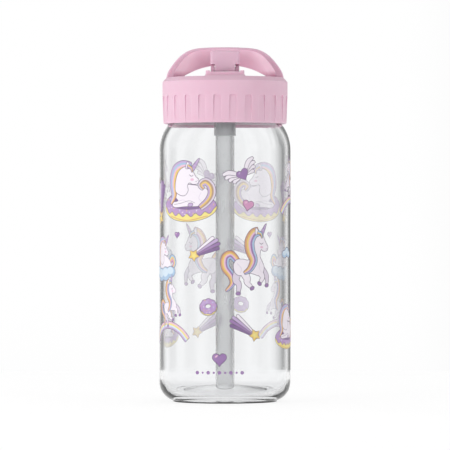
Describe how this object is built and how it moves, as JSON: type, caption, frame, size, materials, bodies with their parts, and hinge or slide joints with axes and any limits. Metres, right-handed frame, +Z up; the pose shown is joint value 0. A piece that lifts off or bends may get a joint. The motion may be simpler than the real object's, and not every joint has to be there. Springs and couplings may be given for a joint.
{
  "type": "kids water bottle",
  "caption": "Clear cylindrical drinking bottle with a ribbed screw-on lid, hooded carry handle, flip-up spout and full-length straw.",
  "frame": {"origin": "centre of the base, on the surface the bottle stands on", "axes": "+Z up along the bottle's axis, -Y to the front where the spout's flat face is, +X to the right seen from the front"},
  "size_m": [0.072, 0.072, 0.1946],
  "materials": {
    "clear_body": "clear moulded copolyester, polished",
    "clear_silicone": "translucent food silicone, satin",
    "white_plastic": "pale moulded polypropylene",
    "pink_plastic": "pastel pink moulded polypropylene, fine matte",
    "pink_spout": "pastel pink moulded polypropylene, fine matte",
    "steel_pin": "ground stainless steel",
    "soft_silicone": "soft translucent silicone tinted pink, satin",
    "frosted_plastic": "frosted translucent plastic",
    "straw_plastic": "translucent extruded plastic tube"
  },
  "bodies": {
    "bottle": {"bottle_body": "clear_body"},
    "neck_seal": {"neck_gasket": "clear_silicone"},
    "vent": {"vent_valve": "clear_silicone"},
    "lid": {"lid_shell": "pink_plastic", "lid_liner": "white_plastic", "port_seal": "clear_silicone", "hinge_pins": "steel_pin", "straw_connector": "frosted_plastic", "straw": "straw_plastic"},
    "spout": {"spout_body": "pink_spout", "mouthpiece": "soft_silicone"}
  },
  "joints": [
    {"name": "lid_lift_off", "type": "slide", "parent": "bottle", "child": "neck_seal", "axis": [0, 0, 1], "range_m": [0, 0.19]},
    {"name": "lid_rise", "type": "slide", "parent": "neck_seal", "child": "vent", "axis": [0, 0, 1], "range_m": [0, 0.005]},
    {"name": "lid_unscrew", "type": "hinge", "parent": "vent", "child": "lid", "pos_m": [0, 0, 0.16], "axis": [0, 0, 1], "range_deg": [0, 450]},
    {"name": "spout_flip", "type": "hinge", "parent": "lid", "child": "spout", "pos_m": [0, -0.0145, 0.1815], "axis": [1, 0, 0], "range_deg": [0, 90]}
  ],
  "couplings": [
    {"joint": "lid_rise", "follows": "lid_unscrew", "m_per_rad": 0.00063662}
  ]
}
